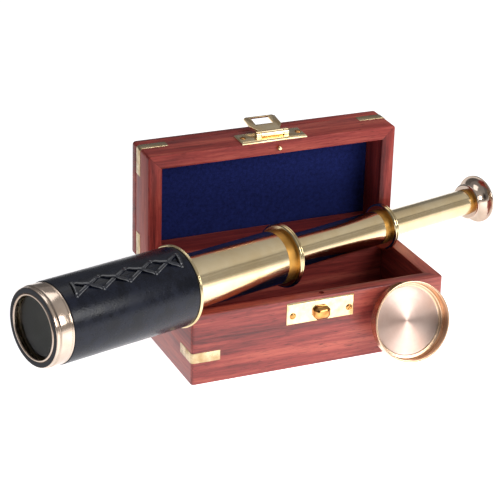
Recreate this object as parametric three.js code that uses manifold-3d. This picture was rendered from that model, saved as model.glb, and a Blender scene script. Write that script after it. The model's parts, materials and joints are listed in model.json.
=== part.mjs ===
// A three-draw spyglass lying across its own open wooden box, with the glass's cap leaning on the box.
// Millimetres, +Z up. The origin is the centre of the box's underside, and the box's front faces -Y.
import * as THREE from "three";
import { mergeVertices } from "three/addons/utils/BufferGeometryUtils.js";
import Module from "manifold-3d";

const wasm = await Module();
wasm.setup();

// ---- Fits -------------------------------------------------------------------------------------
const jointGap = 0.3; // between pieces that touch
const slideGap = 0.3; // between a draw tube and the bush that it slides in
const rimGap = 0.15; // between a hinge leaf and the plane where lid and base meet
const restGap = 0.3; // between the glass, the cap and the box that they rest on

// ---- Box --------------------------------------------------------------------------------------
const boxWidth = 168;
const boxDepth = 76;
const baseHeight = 46;
const lidHeight = 29.5;
const wallThickness = 9;
const floorThickness = 5;
const panelThickness = 6.7;
const feltThickness = 1;
const lidOpenAngle = 89;

// ---- Brass corner straps, let in flush --------------------------------------------------------
const strapLeg = 18.5;
const strapHeight = 6.75;
const strapThickness = 1.5;
const strapProud = 0.2;
const baseStrapCentre = 18; // above the underside
const lidStrapEdge = 0.925; // from the lid's straps up to the joint with its panel

// ---- Butt hinges ------------------------------------------------------------------------------
const hingeSpacing = 100;
const hingeLength = 22;
const hingeInset = 1.5; // the pin's distance in from the back face
const knuckleRadius = 1.6;
const hingePinRadius = 0.7;
const leafThickness = 1;
const leafMargin = 0.9; // wood left behind a hinge leaf
const middleKnuckle = 10;

// ---- Hasp, catch and locating pin -------------------------------------------------------------
const haspPlateWidth = 44;
const haspPlateHeight = 14.5;
const haspPlateThickness = 1.2;
const haspAxisAboveRim = 6;
const haspAxisOut = 3.2; // from the wood to the flap's axis
const haspKnuckleRadius = 2.2;
const haspPinRadius = 0.8;
const haspLugWidth = 3;
const flapKnuckleLength = 15;
const flapLength = 21.8;
const flapTipWidth = 21.5;
const flapThickness = 1.2;
const flapWindowStart = 11.5;
const flapWindowLength = 9;
const flapWindowWidth = 12;
const flapShoulder = 9.5; // from the flap's axis to where it reaches its full width
const flapFlareStart = 4.3; // from the flap's axis to where it begins to widen
const flapCorner = 1.5;
const flapRestAngle = 8; // above the hasp plate
const catchWidth = 45;
const catchHeight = 14.5;
const catchThickness = 1.2;
const catchBelowRim = 1.6;
const hookBelowRim = 10;
const hookWidth = 10.6;
const hookHeight = 8.4;
const hookReach = 4.2;
const plateScrewSpacing = 37.6;
const screwHeadRadius = 2.1;
const screwHeadHeight = 0.7;
const screwShankRadius = 1.1;
const screwMargin = 1.5; // wood left behind a screw hole
const screwTaper = 1; // length of a screw's tip
const locatingPinRadius = 1.5;
const locatingPinReach = 3;
const locatingPinOffset = 2.5;

// ---- Spyglass: lengths run along its axis from the front face ---------------------------------
const lipLength = 2;
const lipStep = 0.6; // from the cell's radius in to its front lip
const lipEase = 0.6;
const cellSkirt = 0.4; // the cell's wall where it covers the barrel tube
const cellLength = 11.5;
const faceWidth = 2.85; // from the lip in to the front opening
const lensShelf = 1.4; // from the front opening in to the clear aperture
const lensEdge = 2.6;
const lensCrown = 1.2;
const lensStart = 2;
const tubeStart = 7; // where the barrel tube begins inside the cell
const barrelRadius = 23.4;
const barrelWall = 1;
const leatherThickness = 0.85;
const barrelLength = 102.6;
const rearCollarProud = 0.9; // from the leather out to the rear collar
const collarEase = 0.4;
const rearCollarWidth = 1.9;
const bushLength = 7;
const stopLength = 3.5;
const stopSlack = 2; // from a stop ring to the bush that it would meet
const drawWall = 0.8;
const drawRadii = [16.85, 11.05, 8.55];
const drawShown = [83.9, 85.7, 77.8]; // how far each draw stands out, with its collar
const collarProud = [3.45, 3.9, 3.15]; // from each draw's tube out to its collar
const collarWidths = [3.5, 3.7, 2];
const bandWidths = [6.5, 4.7, 3.3];
const eyepieceRadius = 15.7;
const eyepieceNeckProud = 0.75; // from the last tube out to the bell's neck
const eyepieceLength = 9;
const eyeHole = 5;
const eyeLensRadius = 6.6;
const eyeLensThickness = 2.6;
const erectorInset = 1.2;
const erectorLength = 6;
const wallCrossing = 11.3; // from the rear collar back to the middle of the box's left wall
const frontLieIn = 11.7; // from the box's front face to the axis over the left wall
const backLieIn = 14.57; // from the box's back face to the axis over the right wall

// ---- Cap --------------------------------------------------------------------------------------
const capWall = 0.7;
const capSlip = 0.2; // between the cap and the cell that it slides over
const capDepth = 9;
const capLean = 17;
const capFromRight = 28; // from the box's right face to the cap's middle

const segments = 32;
const fineSegments = 24;
const degrees = Math.PI / 180;

// ---- Materials --------------------------------------------------------------------------------
const wood = new THREE.MeshStandardMaterial({ color: 0x8a4038, roughness: 0.45, metalness: 0 });
const felt = new THREE.MeshStandardMaterial({ color: 0x141b4d, roughness: 1, metalness: 0 });
const leather = new THREE.MeshStandardMaterial({ color: 0x24252e, roughness: 0.5, metalness: 0 });
const plateBrass = new THREE.MeshStandardMaterial({ color: 0xe0b85a, roughness: 0.25, metalness: 1 });
const tubeBrass = new THREE.MeshStandardMaterial({ color: 0xd8c48a, roughness: 0.2, metalness: 1 });
const turnedBrass = new THREE.MeshStandardMaterial({ color: 0xcaa98c, roughness: 0.25, metalness: 1 });
const bandBrass = new THREE.MeshStandardMaterial({ color: 0xb9822f, roughness: 0.3, metalness: 1 });
const glass = new THREE.MeshStandardMaterial({ color: 0xdfe8ea, roughness: 0.05, metalness: 0 });

// ---- Solids -----------------------------------------------------------------------------------
function toSolid(geometry) {
  const bare = geometry.clone();
  bare.deleteAttribute("normal");
  bare.deleteAttribute("uv");
  const merged = mergeVertices(bare, 1e-4);
  return new wasm.Manifold(new wasm.Mesh({
    numProp: 3,
    vertProperties: new Float32Array(merged.attributes.position.array),
    triVerts: new Uint32Array(merged.index.array),
  }));
}

function toGeometry(solid) {
  const mesh = solid.getMesh();
  const geometry = new THREE.BufferGeometry();
  geometry.setAttribute("position", new THREE.BufferAttribute(new Float32Array(mesh.vertProperties), 3));
  geometry.setIndex(new THREE.BufferAttribute(new Uint32Array(mesh.triVerts), 1));
  geometry.computeVertexNormals();
  return geometry;
}

function cut(geometry, tools) {
  return toGeometry(tools.reduce((solid, tool) => solid.subtract(toSolid(tool)), toSolid(geometry)));
}

function join(geometries) {
  return toGeometry(geometries.slice(1).reduce((solid, other) => solid.add(toSolid(other)), toSolid(geometries[0])));
}

// A box from its lowest corner to its highest.
function block(low, high) {
  const size = high.map((value, axis) => value - low[axis]);
  const middle = high.map((value, axis) => (value + low[axis]) / 2);
  return new THREE.BoxGeometry(...size).translate(...middle);
}

// A rod along X, Y or Z, from one end to the other.
function rod(axis, radius, from, to, centre, sides = fineSegments) {
  const geometry = new THREE.CylinderGeometry(radius, radius, to - from, sides);
  if (axis === "x") geometry.rotateZ(-Math.PI / 2).translate((from + to) / 2, ...centre);
  if (axis === "y") geometry.translate(0, (from + to) / 2, 0).translate(centre[0], 0, centre[1]);
  if (axis === "z") geometry.rotateX(Math.PI / 2).translate(...centre, (from + to) / 2);
  return geometry;
}

// A piece turned about X. The profile is a closed loop of [station, radius], and its first and last
// points may both lie on the axis instead.
function turned(profile, sides = segments) {
  const loop = profile[0][1] > 0 ? [...profile, profile[0]] : profile;
  let area = 0;
  loop.forEach(([station, radius], index) => {
    const [nextStation, nextRadius] = loop[(index + 1) % loop.length];
    area += station * nextRadius - nextStation * radius;
  });
  const ordered = area < 0 ? loop : [...loop].reverse();
  const points = ordered.map(([station, radius]) => new THREE.Vector2(radius, station));
  return new THREE.LatheGeometry(points, sides).rotateZ(-Math.PI / 2);
}

// An outline in plan, raised from one height to another.
function raised(points, from, to, holes = []) {
  const shape = new THREE.Shape(points.map(([x, y]) => new THREE.Vector2(x, y)));
  holes.forEach((hole) => shape.holes.push(new THREE.Path(hole.map(([x, y]) => new THREE.Vector2(x, y)))));
  const options = { depth: to - from, bevelEnabled: false, curveSegments: 8 };
  return new THREE.ExtrudeGeometry(shape, options).translate(0, 0, from);
}

// An outline of [y, z] points, raised along X.
function raisedAlongX(points, from, to) {
  const turn = new THREE.Matrix4().makeBasis(
    new THREE.Vector3(0, 1, 0), new THREE.Vector3(0, 0, 1), new THREE.Vector3(1, 0, 0));
  return raised(points, from, to).applyMatrix4(turn);
}

function addPiece(group, name, geometry, material) {
  const mesh = new THREE.Mesh(geometry, material);
  mesh.name = name;
  group.add(mesh);
  return mesh;
}

// ---- Box pieces, in the plan of the box -------------------------------------------------------
const halfWidth = boxWidth / 2;
const halfDepth = boxDepth / 2;
const pinY = halfDepth - hingeInset;
const lidWallTop = lidHeight - panelThickness - jointGap;
const lidStrapCentre = lidWallTop - lidStrapEdge - strapHeight / 2;
const leafDepth = wallThickness - hingeInset - leafMargin;
const screwLength = wallThickness - screwMargin;

// The outline of an L-shaped strap round a corner, grown all round by a clearance.
function strapOutline(signX, signY, grow) {
  const outX = halfWidth + strapProud + grow;
  const outY = halfDepth + strapProud + grow;
  const inX = halfWidth - strapThickness - grow;
  const inY = halfDepth - strapThickness - grow;
  const legX = halfWidth - strapLeg - grow;
  const legY = halfDepth - strapLeg - grow;
  const points = [[outX, outY], [legX, outY], [legX, inY], [inX, inY], [inX, legY], [outX, legY]];
  const placed = points.map(([x, y]) => [signX * x, signY * y]);
  return signX * signY > 0 ? placed : placed.reverse();
}

const corners = [["front_left", -1, -1], ["front_right", 1, -1], ["back_left", -1, 1], ["back_right", 1, 1]];

function addStraps(group, prefix, centre) {
  const low = centre - strapHeight / 2;
  const high = centre + strapHeight / 2;
  corners.forEach(([corner, signX, signY]) => {
    const outline = strapOutline(signX, signY, 0);
    addPiece(group, `${prefix}_strap_${corner}`, raised(outline, low, high), plateBrass);
  });
  return corners.map(([, signX, signY]) => (
    raised(strapOutline(signX, signY, jointGap), low - jointGap, high + jointGap)
  ));
}

// Four walls with mitred corners. Each is cut by its recesses, holes and bevels.
function addWalls(group, prefix, height, tools) {
  const slack = jointGap / Math.SQRT2;
  const sides = [
    ["front", halfWidth, halfDepth, 180],
    ["back", halfWidth, halfDepth, 0],
    ["left", halfDepth, halfWidth, 90],
    ["right", halfDepth, halfWidth, -90],
  ];
  sides.forEach(([side, halfLength, reach, turn]) => {
    const inner = reach - wallThickness;
    const outline = [
      [halfLength - slack, reach],
      [slack - halfLength, reach],
      [slack + wallThickness - halfLength, inner],
      [halfLength - wallThickness - slack, inner],
    ];
    const wall = raised(outline, 0, height).rotateZ(turn * degrees);
    addPiece(group, `${prefix}_${side}_wall`, cut(wall, tools), wood);
  });
}

// Everything that the two hinges need cut from one rim: leaf mortises, knuckle grooves and the bevel that
// lets the lid open until the two bevels meet. The rim is at z = rim and up is 1 in the lid, -1 in the base.
function hingeCuts(rim, up) {
  const bevelStart = pinY - rimGap;
  const bevelDepth = halfDepth + 1 - bevelStart;
  const bevel = [[bevelStart, 0], [bevelStart + bevelDepth, 0], [bevelStart + bevelDepth, up * bevelDepth]];
  const profile = up > 0 ? bevel : [...bevel].reverse();
  const cuts = [raisedAlongX(profile, -halfWidth - 1, halfWidth + 1).translate(0, 0, rim)];
  [-1, 1].forEach((side) => {
    const from = side * hingeSpacing / 2 - hingeLength / 2 - jointGap;
    const to = side * hingeSpacing / 2 + hingeLength / 2 + jointGap;
    const deep = rim + up * (rimGap + leafThickness + jointGap);
    const low = Math.min(rim - up, deep);
    const high = Math.max(rim - up, deep);
    cuts.push(block([from, pinY - leafDepth - jointGap, low], [to, pinY, high]));
    cuts.push(rod("x", knuckleRadius + jointGap, from, to, [pinY, rim]));
  });
  return cuts;
}

function screwHoles(frontFace, z) {
  return [-1, 1].map((side) => rod("y", screwShankRadius + jointGap, frontFace - 5,
    frontFace + screwLength, [side * plateScrewSpacing / 2, z]));
}

// A pair of round-headed screws into a front face, through a plate.
function addScrews(group, prefix, plateFace, z) {
  [["left", -1], ["right", 1]].forEach(([place, side]) => {
    const headTop = screwHeadHeight;
    const tip = screwLength - screwTaper;
    const profile = [
      [-headTop, 0], [-headTop, screwHeadRadius * 0.55], [-headTop * 0.55, screwHeadRadius * 0.9],
      [0, screwHeadRadius], [0, screwShankRadius], [tip - screwTaper, screwShankRadius], [tip, 0],
    ];
    const screw = turned(profile, 16).rotateZ(Math.PI / 2);
    screw.translate(side * plateScrewSpacing / 2, plateFace - jointGap / 2, z);
    addPiece(group, `${prefix}_screw_${place}`, screw, plateBrass);
  });
}

function addBase(group) {
  const hookZ = baseHeight - hookBelowRim;
  const catchTop = baseHeight - catchBelowRim;
  const pinHole = rod("z", locatingPinRadius + jointGap, baseHeight - locatingPinReach - 1, baseHeight + 1,
    [locatingPinOffset, wallThickness / 2 - halfDepth]);
  const straps = addStraps(group, "base", baseStrapCentre);
  const screwBores = screwHoles(-halfDepth, hookZ);
  addWalls(group, "base", baseHeight, [...straps, ...hingeCuts(baseHeight, -1), ...screwBores, pinHole]);

  const innerX = halfWidth - wallThickness - jointGap;
  const innerY = halfDepth - wallThickness - jointGap;
  addPiece(group, "base_floor", block([-innerX, -innerY, 0], [innerX, innerY, floorThickness]), wood);
  const feltTop = floorThickness + feltThickness;
  addPiece(group, "base_lining", block([-innerX, -innerY, floorThickness], [innerX, innerY, feltTop]), felt);

  const plateFront = -halfDepth - catchThickness;
  const plate = block([-catchWidth / 2, plateFront, catchTop - catchHeight],
    [catchWidth / 2, -halfDepth, catchTop]);
  addPiece(group, "catch_plate", cut(plate, screwBores), plateBrass);
  addScrews(group, "catch", plateFront, hookZ);

  const hookProfile = [
    [plateFront, hookHeight / 2], [plateFront - hookReach * 0.75, hookHeight * 0.25],
    [plateFront - hookReach, -hookHeight * 0.08], [plateFront - hookReach * 0.8, -hookHeight * 0.32],
    [plateFront - hookReach * 0.35, -hookHeight * 0.3], [plateFront, -hookHeight / 2],
  ];
  const hook = raisedAlongX(hookProfile, -hookWidth / 2, hookWidth / 2).translate(0, 0, hookZ);
  addPiece(group, "catch_hook", hook, plateBrass);
}

// One leaf with its knuckles, about a pin at the origin. The base's leaf lies below the rim plane and has
// the two outer knuckles, the lid's lies above it and has the middle one.
function hingeLeaf(up) {
  const near = up * rimGap;
  const far = up * (rimGap + leafThickness);
  const low = Math.min(near, far);
  const high = Math.max(near, far);
  const clear = knuckleRadius + jointGap;
  const half = hingeLength / 2;
  const outer = middleKnuckle / 2 + jointGap;
  const spans = up > 0 ? [[-middleKnuckle / 2, middleKnuckle / 2]] : [[-half, -outer], [outer, half]];
  const solids = [block([-half, -leafDepth, low], [half, -clear, high])];
  spans.forEach(([from, to]) => {
    solids.push(block([from, -clear - 0.5, low], [to, 0, high]));
    solids.push(rod("x", knuckleRadius, from, to, [0, 0], 16));
  });
  return cut(join(solids), [rod("x", hingePinRadius + jointGap, -half - 1, half + 1, [0, 0], 16)]);
}

function addHinges(baseGroup, lidGroup) {
  [["left", -1], ["right", 1]].forEach(([place, side]) => {
    const x = side * hingeSpacing / 2;
    const half = hingeLength / 2;
    addPiece(baseGroup, `hinge_leaf_base_${place}`, hingeLeaf(-1).translate(x, pinY, baseHeight), plateBrass);
    const pin = rod("x", hingePinRadius, x - half, x + half, [pinY, baseHeight], 12);
    addPiece(baseGroup, `hinge_pin_${place}`, pin, plateBrass);
    addPiece(lidGroup, `hinge_leaf_lid_${place}`, hingeLeaf(1).translate(x, pinY, 0), plateBrass);
  });
}

// The lid is drawn shut, with its rim at z = 0, in the plan of the box.
function addLid(group) {
  const front = -halfDepth;
  const plateBack = front - jointGap;
  const plateFront = plateBack - haspPlateThickness;
  const screwZ = jointGap + haspPlateHeight / 2;
  const pinY0 = wallThickness / 2 - halfDepth;
  const pinSocket = rod("z", locatingPinRadius + jointGap, -1, 5, [locatingPinOffset, pinY0]);
  const straps = addStraps(group, "lid", lidStrapCentre);
  const screwBores = screwHoles(front, screwZ);
  addWalls(group, "lid", lidWallTop, [...straps, ...hingeCuts(0, 1), ...screwBores, pinSocket]);

  addPiece(group, "lid_panel",
    block([-halfWidth, -halfDepth, lidWallTop + jointGap], [halfWidth, halfDepth, lidHeight]), wood);
  const innerX = halfWidth - wallThickness - jointGap;
  const innerY = halfDepth - wallThickness - jointGap;
  addPiece(group, "lid_lining",
    block([-innerX, -innerY, lidWallTop - feltThickness], [innerX, innerY, lidWallTop]), felt);
  addPiece(group, "locating_pin",
    rod("z", locatingPinRadius, -locatingPinReach, 5 - jointGap, [locatingPinOffset, pinY0], 16), plateBrass);

  const axisY = front - haspAxisOut;
  const plate = block([-haspPlateWidth / 2, plateFront, jointGap],
    [haspPlateWidth / 2, plateBack, jointGap + haspPlateHeight]);
  const solids = [plate];
  const lugStart = flapKnuckleLength / 2 + jointGap;
  [-1, 1].forEach((side) => {
    const near = side * lugStart;
    const far = side * (lugStart + haspLugWidth);
    const from = Math.min(near, far);
    const to = Math.max(near, far);
    solids.push(rod("x", haspKnuckleRadius, from, to, [axisY, haspAxisAboveRim], 16));
    solids.push(block([from, axisY, haspAxisAboveRim - haspKnuckleRadius],
      [to, plateBack, haspAxisAboveRim + haspKnuckleRadius]));
  });
  const pinBore = rod("x", haspPinRadius + jointGap, -lugStart - haspLugWidth - 1, lugStart + haspLugWidth + 1,
    [axisY, haspAxisAboveRim], 12);
  const knuckleRoom = rod("x", haspKnuckleRadius + jointGap, -lugStart, lugStart, [axisY, haspAxisAboveRim]);
  addPiece(group, "hasp_plate", cut(join(solids), [...screwBores, pinBore, knuckleRoom]), plateBrass);
  addScrews(group, "hasp", plateFront, screwZ);
  const pinHalf = lugStart + haspLugWidth;
  addPiece(group, "hasp_pin",
    rod("x", haspPinRadius, -pinHalf, pinHalf, [axisY, haspAxisAboveRim], 12), plateBrass);
  addFlap(group, axisY);
}

// The flap turns about its knuckle. It points to the lid's panel, tipped out from the plate.
function addFlap(group, axisY) {
  const flap = new THREE.Group();
  flap.position.set(0, axisY, haspAxisAboveRim);
  flap.rotation.x = flapRestAngle * degrees;
  group.add(flap);
  const root = flapKnuckleLength / 2;
  const tip = flapTipWidth / 2;
  const window = flapWindowWidth / 2;
  const windowEnd = flapWindowStart + flapWindowLength;
  const outline = [
    [-root, 0], [root, 0], [root, flapFlareStart], [tip, flapShoulder], [tip, flapLength - flapCorner],
    [tip - flapCorner, flapLength], [flapCorner - tip, flapLength], [-tip, flapLength - flapCorner],
    [-tip, flapShoulder], [-root, flapFlareStart],
  ];
  const hole = [[-window, flapWindowStart], [-window, windowEnd], [window, windowEnd], [window, flapWindowStart]];
  const back = flapThickness * -0.35;
  const plate = raised(outline, back, back + flapThickness, [hole]).rotateX(Math.PI / 2);
  const solids = [plate, rod("x", haspKnuckleRadius, -root, root, [0, 0], 16)];
  const bore = rod("x", haspPinRadius + jointGap, -root - 1, root + 1, [0, 0], 12);
  addPiece(flap, "hasp_flap", cut(join(solids), [bore]), plateBrass);
}

// ---- Spyglass pieces, turned about X from the front face at x = 0 -----------------------------
const barrelBore = barrelRadius - barrelWall;
const cellBore = barrelRadius + jointGap / 2;
const cellRadius = cellBore + cellSkirt;
const lipRadius = cellRadius - lipStep;
const cellFace = lipRadius - faceWidth; // radius of the front opening
const lensOpening = cellFace - lensShelf;
const leatherRadius = cellBore + leatherThickness;
const rearCollarRadius = leatherRadius + rearCollarProud;
const collarRadii = drawRadii.map((radius, index) => radius + collarProud[index]);
const drawEnds = drawShown.map((shown, index) => (
  drawShown.slice(0, index).reduce((sum, earlier) => sum + earlier, barrelLength + shown)
));
const bushStart = barrelLength - rearCollarWidth - bushLength;

// A ring with square edges between two stations and two radii.
function ring(from, to, inner, outer) {
  return turned([[from, inner], [to, inner], [to, outer], [from, outer]]);
}

// A lens with both faces bulging, on the axis.
function lens(middle, radius, edge, crown) {
  const steps = 3;
  const profile = [];
  for (let step = 0; step <= steps; step += 1) {
    const share = step / steps;
    profile.push([middle - edge / 2 - crown * (1 - share * share), radius * share]);
  }
  for (let step = steps; step >= 0; step -= 1) {
    const share = step / steps;
    profile.push([middle + edge / 2 + crown * (1 - share * share), radius * share]);
  }
  return turned(profile, fineSegments);
}

function addBarrel(group) {
  const lensEnd = lensStart + lensEdge;
  addPiece(group, "objective_cell", turned([
    [0, cellFace], [0, lipRadius - lipEase], [lipEase, lipRadius], [lipLength, lipRadius],
    [lipLength + 0.3, lipRadius - 0.4], [lipLength + 0.8, cellRadius], [cellLength, cellRadius],
    [cellLength, cellBore], [tubeStart - jointGap, cellBore], [tubeStart - jointGap, lensOpening],
    [lensEnd + jointGap, lensOpening], [lensEnd + jointGap, cellFace],
  ]), turnedBrass);
  const ringEnd = lensStart - jointGap / 2;
  addPiece(group, "retaining_ring", turned([
    [-0.4, lensOpening + 0.3], [-0.4, cellFace - 0.8], [0, cellFace - jointGap], [ringEnd, cellFace - jointGap],
    [ringEnd, lensOpening], [0, lensOpening],
  ]), turnedBrass);
  addPiece(group, "objective_lens",
    lens(lensStart + lensEdge / 2 + jointGap / 2, cellFace - jointGap, lensEdge - jointGap / 2, lensCrown), glass);
  const tubeEnd = barrelLength - rearCollarWidth - jointGap;
  addPiece(group, "barrel_tube", ring(tubeStart, tubeEnd, barrelBore, barrelRadius), tubeBrass);
  addPiece(group, "leather_wrap",
    ring(cellLength + jointGap, tubeEnd, cellBore, leatherRadius), leather);
  const bore = drawRadii[0] + slideGap;
  const flange = barrelLength - rearCollarWidth;
  addPiece(group, "rear_collar", turned([
    [bushStart, bore], [barrelLength, bore], [barrelLength, rearCollarRadius - collarEase],
    [barrelLength - collarEase, rearCollarRadius], [flange + collarEase, rearCollarRadius],
    [flange, rearCollarRadius - collarEase],
    [flange, barrelBore - jointGap], [bushStart, barrelBore - jointGap],
  ]), turnedBrass);
}

// One draw: its tube with a stop ring at the front end, the band and the collar at the rear end. The
// bush inside the collar carries the next draw. Gives the front end, for what sits inside it.
function addDraw(group, index, outerBore, previousBushStart) {
  const number = index + 1;
  const radius = drawRadii[index];
  const inner = radius - drawWall;
  const rear = drawEnds[index];
  const flange = rear - collarWidths[index];
  const bandStart = flange - bandWidths[index];
  const front = previousBushStart - stopSlack - stopLength;
  const stopRadius = outerBore - slideGap;
  const stopEnd = front + stopLength;
  addPiece(group, `draw_tube_${number}`, turned([
    [front, inner], [bandStart - jointGap, inner], [bandStart - jointGap, radius], [stopEnd, radius],
    [stopEnd, stopRadius], [front, stopRadius],
  ]), tubeBrass);
  addPiece(group, `draw_band_${number}`, ring(bandStart, flange - jointGap, inner, radius), bandBrass);
  return { front, inner, flange, rear };
}

// A beaded collar with the bush for the next draw.
function addCollar(group, index, place) {
  const radius = collarRadii[index];
  const bore = drawRadii[index + 1] + slideGap;
  const start = place.flange - bandWidths[index] * 0.5 - bushLength;
  const groove = (place.flange + place.rear) / 2;
  addPiece(group, `draw_collar_${index + 1}`, turned([
    [start, bore], [place.rear, bore], [place.rear, radius - 0.8], [place.rear - 0.6, radius],
    [groove + 0.4, radius], [groove, radius - 0.5], [groove - 0.4, radius], [place.flange + 0.6, radius],
    [place.flange, radius - 0.8], [place.flange, place.inner - jointGap], [start, place.inner - jointGap],
  ]), turnedBrass);
  return start;
}

function addEyepiece(group, place) {
  const neck = drawRadii[2] + eyepieceNeckProud;
  const neckFront = place.flange;
  const neckEnd = place.rear;
  const end = neckEnd + eyepieceLength;
  const spigot = place.inner - jointGap;
  const bore = spigot - 1;
  const spigotStart = neckFront - bandWidths[2] - 4;
  addPiece(group, "eyepiece_ring", turned([
    [spigotStart, bore], [neckEnd, bore], [neckEnd, collarRadii[2] - 0.5], [neckEnd - 0.5, collarRadii[2]],
    [neckFront + 0.5, collarRadii[2]], [neckFront, collarRadii[2] - 0.5], [neckFront, spigot],
    [spigotStart, spigot],
  ]), turnedBrass);
  const flare = [];
  const flareSteps = 5;
  const start = neckEnd + jointGap;
  const rimStart = end - 1.6;
  for (let step = 0; step <= flareSteps; step += 1) {
    const turn = step / flareSteps * 90 * degrees;
    flare.push([start + (rimStart - start) * Math.sin(turn),
      neck + (eyepieceRadius - neck) * (1 - Math.cos(turn))]);
  }
  const seat = start + 1.6;
  const seatRadius = eyeLensRadius + jointGap;
  addPiece(group, "eyepiece_bell", turned([
    ...flare, [end - 0.4, eyepieceRadius], [end, eyepieceRadius - 0.6], [end - 0.6, eyepieceRadius - 2],
    [end - 2.6, eyeHole + 1.4], [end - 3, eyeHole], [seat + eyeLensThickness + 2 * jointGap, eyeHole],
    [seat + eyeLensThickness + 2 * jointGap, seatRadius], [start, seatRadius],
  ]), turnedBrass);
  const lensMiddle = seat + jointGap + eyeLensThickness / 2;
  addPiece(group, "eye_lens", lens(lensMiddle, eyeLensRadius, eyeLensThickness * 0.5, eyeLensThickness * 0.25), glass);
}

function addErector(group, place) {
  const outer = place.inner - jointGap;
  const bore = outer - 1;
  const start = place.front + erectorInset;
  const end = start + erectorLength;
  const seat = 3;
  addPiece(group, "erector_cell", turned([
    [start, bore], [end - seat, bore], [end - seat, bore - 0.9], [end - seat + 0.8, bore - 0.9],
    [end - seat + 0.8, bore], [end, bore], [end, outer], [start, outer],
  ]), turnedBrass);
  addPiece(group, "erector_lens", lens(start + 1.4, bore - jointGap, 1.2, 0.4), glass);
}

// ---- How the spyglass lies --------------------------------------------------------------------
const railX = halfWidth - wallThickness;
const railY = halfDepth - wallThickness;

// The top edges of the four walls, as points every few millimetres.
function wallEdges() {
  const points = [];
  const stepLength = 1;
  [[halfWidth, halfDepth], [railX, railY]].forEach(([x, y]) => {
    for (let along = -x; along <= x; along += stepLength) points.push([along, -y], [along, y]);
    for (let along = -y; along <= y; along += stepLength) points.push([-x, along], [x, along]);
  });
  return points.map(([x, y]) => new THREE.Vector3(x, y, baseHeight));
}

const turnedSections = [
  [0, barrelLength - rearCollarWidth, leatherRadius],
  [barrelLength - rearCollarWidth, barrelLength, rearCollarRadius],
  [barrelLength, drawEnds[0] - collarWidths[0], drawRadii[0]],
  [drawEnds[0] - collarWidths[0], drawEnds[0], collarRadii[0]],
  [drawEnds[0], drawEnds[1] - collarWidths[1], drawRadii[1]],
  [drawEnds[1] - collarWidths[1], drawEnds[1], collarRadii[1]],
  [drawEnds[1], drawEnds[2] - collarWidths[2], drawRadii[2]],
  [drawEnds[2] - collarWidths[2], drawEnds[2] + eyepieceLength, eyepieceRadius],
];

// The least room between the spyglass and those wall edges that pass it in front of, or behind, a station.
function leastRoom(front, axis, edges, isNear) {
  let least = Infinity;
  edges.forEach((edge) => {
    const offset = edge.clone().sub(front);
    const station = offset.dot(axis);
    if (!isNear(station)) return;
    const away = Math.sqrt(Math.max(offset.lengthSq() - station * station, 0));
    turnedSections.forEach(([from, to, radius]) => {
      if (station > from && station < to) least = Math.min(least, away - radius);
    });
  });
  return least;
}

// The axis passes over the left wall near the front and over the right wall near the back. It sinks until
// the spyglass rests on the wall edges at both ends.
function layDown() {
  const edges = wallEdges();
  const left = new THREE.Vector3(wallThickness / 2 - halfWidth, frontLieIn - halfDepth, 0);
  const right = new THREE.Vector3(halfWidth - wallThickness / 2, halfDepth - backLieIn, 0);
  const leftStation = barrelLength + wallCrossing;
  const reach = left.distanceTo(right);
  const yaw = Math.atan2(right.y - left.y, right.x - left.x);
  let height = baseHeight + drawRadii[0];
  let pitch = 0;
  let front = left;
  let axis = left;
  for (let round = 0; round < 40; round += 1) {
    axis = new THREE.Vector3(Math.cos(pitch) * Math.cos(yaw), Math.cos(pitch) * Math.sin(yaw), Math.sin(pitch));
    front = new THREE.Vector3(left.x, left.y, height).addScaledVector(axis, -leftStation);
    const middle = leftStation + reach / 2;
    const atLeft = leastRoom(front, axis, edges, (station) => station < middle);
    const atRight = leastRoom(front, axis, edges, (station) => station >= middle);
    height += restGap - atLeft;
    pitch += (restGap - atRight - (restGap - atLeft)) / reach;
  }
  return { front, yaw, pitch };
}

function addSpyglass(group) {
  addBarrel(group);
  let outerBore = barrelBore;
  let nextBush = bushStart;
  drawRadii.forEach((radius, index) => {
    const place = addDraw(group, index, outerBore, nextBush);
    outerBore = place.inner;
    if (index < 2) nextBush = addCollar(group, index, place);
    if (index === 2) {
      addErector(group, place);
      addEyepiece(group, place);
    }
  });
}

// ---- Cap --------------------------------------------------------------------------------------
function capShell() {
  const inner = cellRadius + capSlip;
  const outer = inner + capWall;
  const bead = 0.5;
  return turned([
    [0, 0], [0, outer - 1.4], [0.4, outer - 0.4], [1.4, outer], [capDepth - 1.2, outer],
    [capDepth - 1, outer + bead], [capDepth, outer + bead], [capDepth, inner],
    [capWall + 0.8, inner], [capWall, inner - 0.8], [capWall, 0],
  ]);
}

// ---- Whole ------------------------------------------------------------------------------------
const whole = new THREE.Group();
addBase(whole);

const lidGroup = new THREE.Group();
lidGroup.position.set(0, pinY, baseHeight);
lidGroup.rotation.x = -lidOpenAngle * degrees;
whole.add(lidGroup);
const lidPlan = new THREE.Group();
lidPlan.position.set(0, -pinY, 0);
lidGroup.add(lidPlan);
addLid(lidPlan);
addHinges(whole, lidPlan);

const lie = layDown();
const spyglass = new THREE.Group();
spyglass.position.copy(lie.front);
spyglass.rotation.order = "ZYX";
spyglass.rotation.set(0, -lie.pitch, lie.yaw);
whole.add(spyglass);
addSpyglass(spyglass);

// The cap stands on its edge and leans back on the box's front.
const cap = new THREE.Group();
cap.rotation.order = "ZYX";
cap.rotation.set(0, -capLean * degrees, -Math.PI / 2);
addPiece(cap, "lens_cap", capShell(), turnedBrass);
const capBox = new THREE.Box3().setFromObject(cap, true);
const backAtRim = (baseHeight + capBox.min.z) * Math.tan(capLean * degrees); // the cap's back beside the rim
const capReach = Math.min(capBox.max.y, backAtRim);
cap.position.set(halfWidth - capFromRight, -halfDepth - restGap - capReach, -capBox.min.z);
whole.add(cap);

export default whole;
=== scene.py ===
# Looks for a three-draw spyglass that lies across its own open wooden box, with its cap beside it.
import json
import math

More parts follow.
